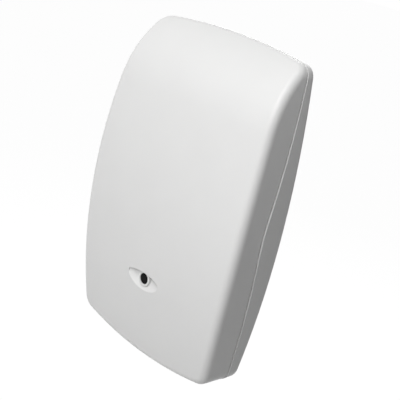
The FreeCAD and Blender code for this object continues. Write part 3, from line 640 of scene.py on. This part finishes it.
# The gap between each package and its frame. Below zero the frame lies under the package.
FRAME_GAPS = {
    "alarm_relay": 0.3, "trimmer_body": 0.3, "tamper_switch_body": 0.3, "jumper_header": 0.3,
    "processor_chip": -0.35, "amplifier_chip": -0.35, "voltage_regulator": 0.25, "surge_diode": 0.25,
    "timing_crystal": 0.3, "status_indicator": 0.25,
}


def add_frame(work, low, high, gap):
    """Four printed lines round a box."""
    left, right, bottom, top = low.x - gap, high.x + gap, low.z - gap, high.z + gap
    half = LINE / 2
    for x in (left, right):
        add_slab(work, (x - half, INK_FRONT, bottom - half), (x + half, JUST_INSIDE, top + half))
    for z in (bottom, top):
        add_slab(work, (left + half, INK_FRONT, z - half), (right - half, JUST_INSIDE, z + half))


def draw_outlines():
    """All the printed lines and dots, as one piece."""
    work = bmesh.new()
    for node, gap in FRAME_GAPS.items():
        add_frame(work, *box_in_mm(node), gap)
    for low, high in loose_boxes("electrolytic_capacitors") + [box_in_mm("microphone_boot")]:
        radius = (high.x - low.x) / 2 + CIRCLE_GAP
        add_ring(work, *middle(low, high), radius - LINE / 2, radius + LINE / 2, INK_FRONT, steps=48)
    for node in CHIPS:
        low, high = box_in_mm(node)
        x, z = low.x - DOT_BESIDE, high.z + DOT_ABOVE
        add_disc(work, x, z, DOT_RADIUS, DOT_RADIUS, INK_FRONT, JUST_INSIDE, steps=16)
    low, high = box_in_mm("terminal_block")
    start = low.z - TERMINAL_LINE_BELOW
    add_slab(work, (low.x, INK_FRONT, start), (high.x, JUST_INSIDE, start + LINE))
    make_piece("board_outlines", work, ink, "housing")


draw_outlines()

# %% [markdown]
# ## Terminal block
# The block is moulded from green nylon, a little glossy. Its clamps and screws are nickel plated. A
# lathe leaves fine rings on a screw head; they can't be noise, because they run round each head.
# Each screw could have a material of its own, but they stand at an even pitch. So the distance from
# the nearest axis is worked out with a ping-pong of the X coordinate, and a sine of it makes the
# rings. The board's own screws get theirs from the same helper.

# %% Green nylon and turned steel
RING_MM = 0.16


def turned_steel(name, node):
    """Bright steel with rings round the screws of a node, which stand evenly spaced in a row."""
    heads = [middle(low, high) for low, high in loose_boxes(node)]
    pitch = (heads[-1][0] - heads[0][0]) / (len(heads) - 1)
    first_x, row_z = heads[0]
    print(node, "at", [round(head[0], 2) for head in heads], "mm, pitch", round(pitch, 2), "mm")

    colour, cloud_tone = (0.46, 0.46, 0.455), 0.88
    finish, tree, shader = new_finish(name, colour, 0.38, metallic=1.0)
    from_first = calculated(tree, "SUBTRACT", coordinate(tree, "X"), first_x * MM)
    across = calculated(tree, "PINGPONG", from_first, pitch * MM / 2)
    along = calculated(tree, "SUBTRACT", coordinate(tree, "Z"), row_z * MM)
    squares = calculated(tree, "ADD", calculated(tree, "POWER", across, 2.0),
                         calculated(tree, "MULTIPLY", along, along))
    distance = calculated(tree, "SQRT", squares)
    turns = calculated(tree, "MULTIPLY", distance, 2.0 * math.pi / (RING_MM * MM))
    # The sine runs from -1 to 1, and the bump wants 0 to 1.
    rings = calculated(tree, "MULTIPLY_ADD", calculated(tree, "SINE", turns), 0.5, 0.5)
    tint(tree, shader, noise_in_mm(tree, 1.2), scaled(colour, cloud_tone), colour)
    raise_surface(tree, shader, rings, height_mm=0.006)
    return finish


dress(moulded_skin("terminal_nylon", (0.035, 0.27, 0.10), 0.34, grain_mm=0.25), "terminal_block")
dress(turned_steel("turned_terminal_screw", "terminal_screws"), "terminal_screws")
dress(worn_metal("nickel_plate", (0.50, 0.49, 0.46), 0.36, grain_mm=0.4), "terminal_clamps")
dress(turned_steel("turned_board_screw", "board_screws"), "board_screws")

# %% [markdown]
# ## Microphone
# The capsule is a drawn aluminium can with a disc of black felt in its opening, and it sits in a
# rubber boot that keeps the hum of the wall away from it. Rubber is dull and slightly dusty: a high
# roughness and a coarse, soft bump. Aluminium gets a fine brushed grain from stretched noise. Its
# leads and the legs of the chips are tinned like the vias. Felt could be hair, but a few fibres
# behind a mesh aren't worth that, so it is a noisy, dead matt disc.

# %% Boot and capsule
boot_rubber = moulded_skin("boot_rubber", (0.020, 0.020, 0.021), 0.78, grain_mm=0.5, relief_mm=0.02)
drawn_can = worn_metal("drawn_aluminium", (0.52, 0.52, 0.53), 0.42, 0.12, stretch=(1.0, 12.0, 1.0))
dress(boot_rubber, "microphone_boot")
dress(drawn_can, "microphone_capsule")
dress(plated, "microphone_leads", "chip_leads")

# %% Felt
FELT_SUNK = 0.12
FELT_RADIUS = 1.06
# The domed edge of the disc: radii, and how far each point lies behind its middle.
FELT_PROFILE = [(0.0, 0.0), (0.9, 0.01), (FELT_RADIUS, 0.08), (FELT_RADIUS, 0.12), (0.0, 0.12)]


def black_felt():
    """Dead matt fibres."""
    fibre_dark, fibre_pale = grey(0.006), (0.03, 0.03, 0.032)
    finish, tree, shader = new_finish("black_felt", (0.014, 0.014, 0.015), 0.95)
    fibres = noise_in_mm(tree, 0.12, detail=5.0)
    tint(tree, shader, fibres, fibre_dark, fibre_pale, low=0.35)
    raise_surface(tree, shader, fibres, height_mm=0.06)
    return finish


felt = bmesh.new()
low, high = box_in_mm("microphone_capsule")
felt_front = low.y + FELT_SUNK
felt_profile = [(radius, felt_front + behind) for radius, behind in FELT_PROFILE]
add_turned(felt, *middle(low, high), felt_profile, steps=32)
make_piece("microphone_felt", felt, black_felt(), "housing")

# %% [markdown]
# ## Switch, trimmer and jumpers
# A black switch with an ivory button, a blue trimmer with a white wheel, and black jumpers on gold
# flashed pins. Each could have a node tree of its own, but they are moulded and plated like the
# parts above, so the same two helpers do for them with other colours and gloss.

# %% Moulded and gold parts
satin_black = moulded_skin("satin_black_moulding", (0.018, 0.018, 0.019), 0.38,
                           grain_mm=0.2, relief_mm=0.003)
dress(satin_black, "tamper_switch_body", "jumper_header", "jumper_shunts")
dress(moulded_skin("ivory_moulding", (0.74, 0.71, 0.61), 0.36), "tamper_plunger")
dress(moulded_skin("trimmer_blue", (0.02, 0.10, 0.38), 0.32), "trimmer_body")
dress(moulded_skin("trimmer_white", (0.78, 0.78, 0.76), 0.4), "trimmer_rotor")
dress(worn_metal("gold_flash", (0.83, 0.60, 0.25), 0.24, 0.3, stretch=(1.0, 8.0, 1.0)), "jumper_pins")

# %% [markdown]
# ## Relay
# The relay hides in an ivory case. Its lid is glued on a base plate, and the joint shows as a thin
# line all round, just above the board. The line could be cut into the solid, but the CAD stays as
# it is. So a narrow band of the Y coordinate is made darker, and a bump sinks it.

# %% Relay case
JOINT_OVER_BOARD = 0.9
JOINT_WIDTH = 0.12


def relay_case():
    """The ivory moulding with a dark, sunken joint over its own grain."""
    colour, joint_tone = (0.72, 0.69, 0.58), 0.35
    finish = moulded_skin("relay_case", colour, 0.33)
    tree = finish.node_tree
    shader = tree.nodes["Principled BSDF"]
    grain = shader.inputs["Normal"].links[0].from_socket
    from_joint = calculated(tree, "SUBTRACT", coordinate(tree, "Y"), (FACE - JOINT_OVER_BOARD) * MM)
    distance = calculated(tree, "ABSOLUTE", from_joint)
    beside = calculated(tree, "GREATER_THAN", distance, JOINT_WIDTH / 2 * MM)
    tint(tree, shader, beside, scaled(colour, joint_tone), colour, low=0.4, high=0.6)
    raise_surface(tree, shader, beside, height_mm=0.05, below=grain)
    return finish


dress(relay_case(), "alarm_relay")

# %% [markdown]
# ## Capacitors
# An electrolytic capacitor is an aluminium can in a shrunk plastic sleeve. The sleeve leaves the
# top free, where two crossed grooves let the can burst safely, and a pale stripe marks its negative
# side. Top and stripe could be areas of one finish, but their edges would be soft. As thin pieces
# over the CAD solid they are sharp. Each top has its own origin at the middle of its can, so one
# finish can draw the cross for every size.

# %% The grooved top
GROOVE_WIDTH = 0.22
GROOVE_REACH = 1.15


def grooved_top():
    """Bare aluminium with a cross of two grooves round the origin, painted darker in them as shade."""
    colour, groove_shade_tone = (0.52, 0.52, 0.53), 0.55
    finish, tree, shader = new_finish("vented_top", colour, 0.42, metallic=1.0)
    across = calculated(tree, "ABSOLUTE", coordinate(tree, "X"))
    along = calculated(tree, "ABSOLUTE", coordinate(tree, "Z"))
    nearest = calculated(tree, "MINIMUM", across, along)
    farthest = calculated(tree, "MAXIMUM", across, along)
    beside = calculated(tree, "GREATER_THAN", nearest, GROOVE_WIDTH / 2 * MM)
    beyond = calculated(tree, "GREATER_THAN", farthest, GROOVE_REACH * MM)
    flat = calculated(tree, "MAXIMUM", beside, beyond)
    # Painted shade: the grooves are coloured darker than the flat top, as shade in the recess.
    tint(tree, shader, flat, scaled(colour, groove_shade_tone), colour)
    grain = raise_surface(tree, shader, noise_in_mm(tree, 0.1), height_mm=0.004)
    raise_surface(tree, shader, flat, height_mm=0.06, below=grain)
    return finish


cans = loose_boxes("electrolytic_capacitors")
can_top = grooved_top()
print("capacitors:", len(cans), "groove in mm:", GROOVE_WIDTH, "by", 2 * GROOVE_REACH)

# %% Sleeves, tops and stripes
TOP_PROUD = 0.02
TOP_DEPTH = 0.05
TOP_SHARE = 0.8
TOP_FOOT_SHARE = 0.84
STRIPE_PROUD = 0.02
STRIPE_SUNK = 0.05
STRIPE_FROM_BOARD = 1.6
STRIPE_FROM_TOP = 0.3
STRIPE_START = 200.0
STRIPE_END = 240.0
STRIPE_STEPS = 8


def stripe_spokes():
    """Directions across the board from the axis of a can to its stripe."""
    span = STRIPE_END - STRIPE_START
    turns = [math.radians(STRIPE_START + span * step / STRIPE_STEPS) for step in range(STRIPE_STEPS + 1)]
    return [Vector((math.cos(turn), math.sin(turn))) for turn in turns]


dress(moulded_skin("shrunk_sleeve", (0.012, 0.017, 0.05), 0.3, grain_mm=0.6, relief_mm=0.006),
      "electrolytic_capacitors")
stripes = bmesh.new()
for number, (low, high) in enumerate(cans, 1):
    x, z = middle(low, high)
    radius, face = (high.x - low.x) / 2, low.y - TOP_PROUD
    top = bmesh.new()
    add_disc(top, x, z, radius * TOP_SHARE, radius * TOP_FOOT_SHARE, face, face + TOP_DEPTH, steps=48)
    make_piece("capacitor_top_%d" % number, top, can_top, "housing", centre=(x, face, z))
    outer = [Vector((x, z)) + spoke * (radius + STRIPE_PROUD) for spoke in stripe_spokes()]
    inner = [Vector((x, z)) + spoke * (radius - STRIPE_SUNK) for spoke in stripe_spokes()]
    add_strip(stripes, outer, inner, high.y - STRIPE_FROM_BOARD, low.y + STRIPE_FROM_TOP)
sleeve_stripe = moulded_skin("sleeve_stripe", (0.50, 0.52, 0.56), 0.35)
make_piece("capacitor_stripes", stripes, sleeve_stripe, "housing")

# %% [markdown]
# ## Chips and other black packages
# Chips are cast from black epoxy that is full of quartz dust: dark grey rather than black, very matt
# and finely speckled. A shallow round dimple marks pin one. It could be cut, but the CAD solid stays
# as it is, so a thin disc with a smoother skin stands for it. The surge diode has a pale band and the
# regulator a metal tab, and both stand on bent metal feet. They are thin pieces too, set by the
# boxes of the solids.

# %% Cast epoxy
def cast_epoxy():
    """Black resin with paler specks of quartz."""
    dark, dust_tone = (0.016, 0.016, 0.017), 2.2
    finish, tree, shader = new_finish("cast_epoxy", dark, 0.6)
    speckle = noise_in_mm(tree, 0.08, detail=4.0)
    tint(tree, shader, speckle, dark, scaled(dark, dust_tone), low=0.35, high=0.75)
    raise_surface(tree, shader, speckle, height_mm=0.008)
    return finish


dress(cast_epoxy(), *CHIPS, "voltage_regulator", "surge_diode")

# %% Marks for pin one, and the band of the diode
MARK_IN = 0.75
MARK_PROUD = 0.012
MARK_SUNK = 0.02
MARK_RADII = (0.32, 0.36)
BAND_FROM_END = (1.0, 0.55)
BAND_MARGIN = 0.37

marks = bmesh.new()
for node in CHIPS:
    low, high = box_in_mm(node)
    x, z = low.x + MARK_IN, high.z - MARK_IN
    add_disc(marks, x, z, *MARK_RADII, low.y - MARK_PROUD, low.y + MARK_SUNK, steps=24)
make_piece("chip_pin_marks", marks, satin_black, "housing")

band = bmesh.new()
low, high = box_in_mm("surge_diode")
add_slab(band, (high.x - BAND_FROM_END[0], low.y - MARK_PROUD, low.z + BAND_MARGIN),
         (high.x - BAND_FROM_END[1], low.y + MARK_SUNK, high.z - BAND_MARGIN))
make_piece("diode_band", band, ink, "housing")

# %% Feet of the diode and the regulator
FOOT_SUNK = 0.01
FOOT_UNDER = 0.1


def add_diode_feet(work):
    """One wide foot at each end of the diode."""
    reach, half_width, rise = 0.55, 0.75, 0.22
    low, high = box_in_mm("surge_diode")
    z = middle(low, high)[1]
    for start, end in ((low.x - reach, low.x + FOOT_UNDER), (high.x - FOOT_UNDER, high.x + reach)):
        add_slab(work, (start, FACE - rise, z - half_width), (end, FACE + FOOT_SUNK, z + half_width))


def add_regulator_feet(work):
    """Three narrow feet below the regulator, and its wide tab above."""
    reach, half_width, rise, inwards = 0.8, 0.22, 0.28, 0.75
    tab_reach, tab_half_width = 0.6, 0.8
    low, high = box_in_mm("voltage_regulator")
    centre = middle(low, high)[0]
    for x in (low.x + inwards, centre, high.x - inwards):
        add_slab(work, (x - half_width, FACE - rise, low.z - reach),
                 (x + half_width, FACE + FOOT_SUNK, low.z + FOOT_UNDER))
    add_slab(work, (centre - tab_half_width, FACE - rise, high.z - FOOT_UNDER),
             (centre + tab_half_width, FACE + FOOT_SUNK, high.z + tab_reach))


feet = bmesh.new()
add_diode_feet(feet)
add_regulator_feet(feet)
make_piece("package_feet", feet, plated, "housing", bevel_mm=0.05)

# %% [markdown]
# ## Small chip parts
# Resistors are white alumina with a black film on top, and the upper row are ceramic capacitors with
# a tan body. Both wear the metal end caps drawn above. Two materials on one CAD node would need its
# faces sorted, so the node is all alumina and thin pieces lie over it. The parts lie in rows, and
# the height of a row tells which kind it is.

# %% Alumina, films and tan ceramic
CERAMIC_ROW_OVER = -5.0
BODY_PROUD = 0.015
FILM_PROUD = 0.02
FILM_MARGIN = 0.05

dress(moulded_skin("alumina", (0.72, 0.71, 0.68), 0.5), "small_chips")
films, bodies = bmesh.new(), bmesh.new()
for low, high in loose_boxes("small_chips"):
    start, end = low.z + CAP_LENGTH, high.z - CAP_LENGTH
    if low.z > CERAMIC_ROW_OVER:
        add_slab(bodies, (low.x - BODY_PROUD, low.y - BODY_PROUD, start),
                 (high.x + BODY_PROUD, FACE, end))
    else:
        add_slab(films, (low.x + FILM_MARGIN, low.y - FILM_PROUD, start),
                 (high.x - FILM_MARGIN, low.y + FILM_PROUD, end))
resistor_film = moulded_skin("resistor_film", (0.02, 0.02, 0.02), 0.35)
tan_ceramic = moulded_skin("tan_ceramic", (0.36, 0.22, 0.11), 0.45)
make_piece("resistor_films", films, resistor_film, "housing")
make_piece("ceramic_bodies", bodies, tan_ceramic, "housing")

# %% [markdown]
# ## Crystal
# The crystal lies in a flat steel can, and its two wires bend down to the board. A swept curve would
# make rounder wires. At this size two slabs with softened edges look much the same.

# %% Crystal can and wires
WIRE_HALF = 0.2
WIRE_IN = 0.8
WIRE_TOP = FACE - 0.75
WIRE_UNDERSIDE = FACE - 0.4
WIRE_REACH = 0.75
WIRE_BEND = 0.4
WIRE_UNDER_CAN = 0.05

crystal_can = worn_metal("crystal_can", (0.50, 0.49, 0.47), 0.36, 0.5, stretch=(1.0, 1.0, 6.0))
dress(crystal_can, "timing_crystal")
wires = bmesh.new()
low, high = box_in_mm("timing_crystal")
for x in (low.x + WIRE_IN, high.x - WIRE_IN):
    left, right, end = x - WIRE_HALF, x + WIRE_HALF, high.z + WIRE_REACH
    add_slab(wires, (left, WIRE_TOP, high.z - WIRE_UNDER_CAN), (right, WIRE_UNDERSIDE, end))
    add_slab(wires, (left, WIRE_TOP, high.z + WIRE_BEND), (right, FACE + FOOT_SUNK, end))
make_piece("crystal_wires", wires, plated, "housing", bevel_mm=0.08)

# %% [markdown]
# ## Indicator
# The indicator is a tiny lamp: a white base with a clear red dome. Real clear plastic would need
# glass and a base that shows through. Unlit and behind a closed cover, a glossy red is enough. Base
# and dome are one CAD solid, so the height over the board tells them apart.

# %% Base and dome
DOME_OVER_BOARD = 0.705


def lamp_with_dome():
    """Red above a certain height over the board, and white below it."""
    base, base_tone = (0.74, 0.73, 0.70), 0.93
    red, red_tone = (0.55, 0.02, 0.015), 0.75
    finish, tree, shader = new_finish("lamp_with_dome", base, 0.22)
    on_dome = calculated(tree, "LESS_THAN", coordinate(tree, "Y"), (FACE - DOME_OVER_BOARD) * MM)
    mottled = ramp(tree, noise_in_mm(tree, 0.3), scaled(base, base_tone), base)
    tinted = ramp(tree, noise_in_mm(tree, 0.4), scaled(red, red_tone), red)
    tree.links.new(mixed(tree, on_dome, mottled, tinted), shader.inputs["Base Color"])
    raise_surface(tree, shader, noise_in_mm(tree, 0.5), height_mm=0.003)
    return finish


dress(lamp_with_dome(), "status_indicator")

# %% [markdown]
# ## Light
# The photograph is lit from above: the sloping top is brightest, the front falls off towards its
# lower edge and the right side is much darker. Soft boxes give such broad, soft light. One big lamp
# could do it, but the lower front would be too dark, so three of them share the work, and their
# strengths were found by rendering each lamp alone and comparing. They stand close, so the light
# falls off over the height of the sensor. A fourth box behind it matters when it is turned round.

# %% Lamps
# Each box: azimuth (0 is the front of the sensor, 90 its right side) and elevation in degrees,
# distance and size in metres, and power in watts.
SOFT_BOXES = {
    "key_box": (10, 50, 0.4, 0.3, 1.39),
    "front_box": (10, 15, 0.4, 0.3, 0.2),
    "low_box": (-15, -12, 0.4, 0.15, 0.17),
    "back_box": (-150, 25, 0.5, 0.3, 0.7),
}


def outwards(azimuth, elevation):
    """A direction of length 1 that leads away from the sensor; both angles are in radians."""
    flat = math.cos(elevation)
    return Vector((math.sin(azimuth) * flat, -math.cos(azimuth) * flat, math.sin(elevation)))


def soft_box(name, azimuth, elevation, distance, size, power):
    """A square lamp that looks back at the sensor."""
    lamp = bpy.data.lights.new(name, "AREA")
    lamp.shape = "SQUARE"
    lamp.size = size
    lamp.energy = power
    holder = bpy.data.objects.new(name, lamp)
    bpy.context.scene.collection.objects.link(holder)
    place = outwards(math.radians(azimuth), math.radians(elevation)) * distance
    holder.location = place
    holder.rotation_mode = "QUATERNION"
    holder.rotation_quaternion = place.to_track_quat("Z", "Y")


for name, values in SOFT_BOXES.items():
    soft_box(name, *values)
print("lamps:", [lamp.name for lamp in bpy.data.lights])

# %% [markdown]
# ## White backdrop
# The background of the photograph is pure white. Turning the lamps up until the backdrop clips
# would burn out the white plastic too. Light Path tells what kind of ray asks instead: rays from
# the camera, mirrored rays and rays through clear parts see a white of strength 1, while the light
# that falls on the object stays low.

# %% Backdrop
PURE_WHITE = (1.0, 1.0, 1.0, 1.0)
AIR_STRENGTH = 0.05
BACKDROP_STRENGTH = 1.0


def seen_directly(tree):
    """1 for camera, glossy and transmission rays, 0 for the rays that light other surfaces."""
    rays = tree.nodes.new("ShaderNodeLightPath")
    first = calculated(tree, "MAXIMUM", rays.outputs["Is Camera Ray"], rays.outputs["Is Glossy Ray"])
    return calculated(tree, "MAXIMUM", first, rays.outputs["Is Transmission Ray"])


def shown_and_hidden(tree, hidden, shown, output):
    """Sends one shader to the rays that light other surfaces, and the other to those that see it."""
    mix = tree.nodes.new("ShaderNodeMixShader")
    tree.links.new(seen_directly(tree), mix.inputs["Fac"])
    tree.links.new(hidden, mix.inputs[1])
    tree.links.new(shown, mix.inputs[2])
    tree.links.new(mix.outputs["Shader"], tree.nodes[output].inputs["Surface"])


def even_light(light, strength):
    """Sets a Background or Emission node to pure white."""
    light.inputs["Color"].default_value = PURE_WHITE
    light.inputs["Strength"].default_value = strength
    return light.outputs[0]


world = bpy.data.worlds.new("studio_air")
bpy.context.scene.world = world
world.use_nodes = True
tree = world.node_tree
air = even_light(tree.nodes["Background"], AIR_STRENGTH)
backdrop = even_light(tree.nodes.new("ShaderNodeBackground"), BACKDROP_STRENGTH)
shown_and_hidden(tree, air, backdrop, "World Output")
print("world:", world.name, "lights with", AIR_STRENGTH, "and shows", BACKDROP_STRENGTH)

# %% [markdown]
# ## White floor
# A sheet of white paper lies below. Left out, the sensor would float in nothing, and plainly lit it
# would be grey beside the backdrop. The floor uses the same trick as the backdrop, but it lets a
# small share of its lit surface through, so the shadow of the sensor stays on it as a faint trace.

# %% Floor
FLOOR_SIZE = 6.0
FLOOR_HEIGHT = -0.2
SHADOW_SHARE = 0.12
FLOOR_GLOW = 0.97


def white_paper():
    """Paper that lights its surroundings as it is, and looks white with a faint shadow."""
    paper, tree, shader = new_finish("white_paper", grey(0.8), 0.9)
    tint(tree, shader, noise_in_mm(tree, 0.8, detail=3.0), grey(0.79), grey(0.81))
    lit = shader.outputs["BSDF"]
    dark = even_light(tree.nodes.new("ShaderNodeEmission"), 0.0)
    glow = even_light(tree.nodes.new("ShaderNodeEmission"), FLOOR_GLOW)
    faint = tree.nodes.new("ShaderNodeMixShader")
    faint.inputs["Fac"].default_value = SHADOW_SHARE
    tree.links.new(dark, faint.inputs[1])
    tree.links.new(lit, faint.inputs[2])
    glowing = tree.nodes.new("ShaderNodeAddShader")
    tree.links.new(glow, glowing.inputs[0])
    tree.links.new(faint.outputs["Shader"], glowing.inputs[1])
    shown_and_hidden(tree, lit, glowing.outputs["Shader"], "Material Output")
    return paper


bpy.ops.mesh.primitive_plane_add(size=FLOOR_SIZE, location=(0.0, 0.0, FLOOR_HEIGHT))
floor = bpy.context.object
floor.name = "floor"
floor.data.materials.append(white_paper())
print("floor at", round(floor.location.z / MM), "mm")

# %% [markdown]
# ## Camera
# The photograph looks at the sensor from its right and from above, with the camera tipped a little.
# Such a view could be set by eye. Here the angles, the distance and the focal length were fitted
# instead, until the outline of the solids lay on the outline in the photograph. The three axes of
# the camera are worked out from the angles, and together they make its rotation. The Standard view
# shows a colour as it is written, where the default one would turn the white backdrop grey.

# %% Camera
YAW = math.radians(41.78)
PITCH = math.radians(18.495)
ROLL = math.radians(12.699)
DISTANCE = 203.35 * MM
FOCAL_PIXELS = 893.736
PICTURE_WIDTH = 400.0
SENSOR_WIDTH = 36.0
NEAREST_SEEN = 10.0 * MM
AIM = Vector((0.0, -10.0 * MM, 0.0))
SIDESTEP = 5.734 * MM

back = outwards(YAW, PITCH)
level = Vector((math.cos(YAW), math.sin(YAW), 0.0))
upright = back.cross(level)
right = level * math.cos(ROLL) + upright * math.sin(ROLL)
up = upright * math.cos(ROLL) - level * math.sin(ROLL)
lens = bpy.data.cameras.new("photo_camera")
lens.sensor_width = SENSOR_WIDTH
lens.lens = SENSOR_WIDTH * FOCAL_PIXELS / PICTURE_WIDTH
lens.clip_start = NEAREST_SEEN
camera = bpy.data.objects.new("photo_camera", lens)
bpy.context.scene.collection.objects.link(camera)
camera.rotation_mode = "QUATERNION"
camera.rotation_quaternion = Matrix((right, up, back)).transposed().to_quaternion()
camera.location = AIM + back * DISTANCE + right * SIDESTEP
bpy.context.scene.camera = camera
bpy.context.scene.view_settings.view_transform = "Standard"
print("camera at", [round(v, 4) for v in camera.location], "lens", round(lens.lens, 2))
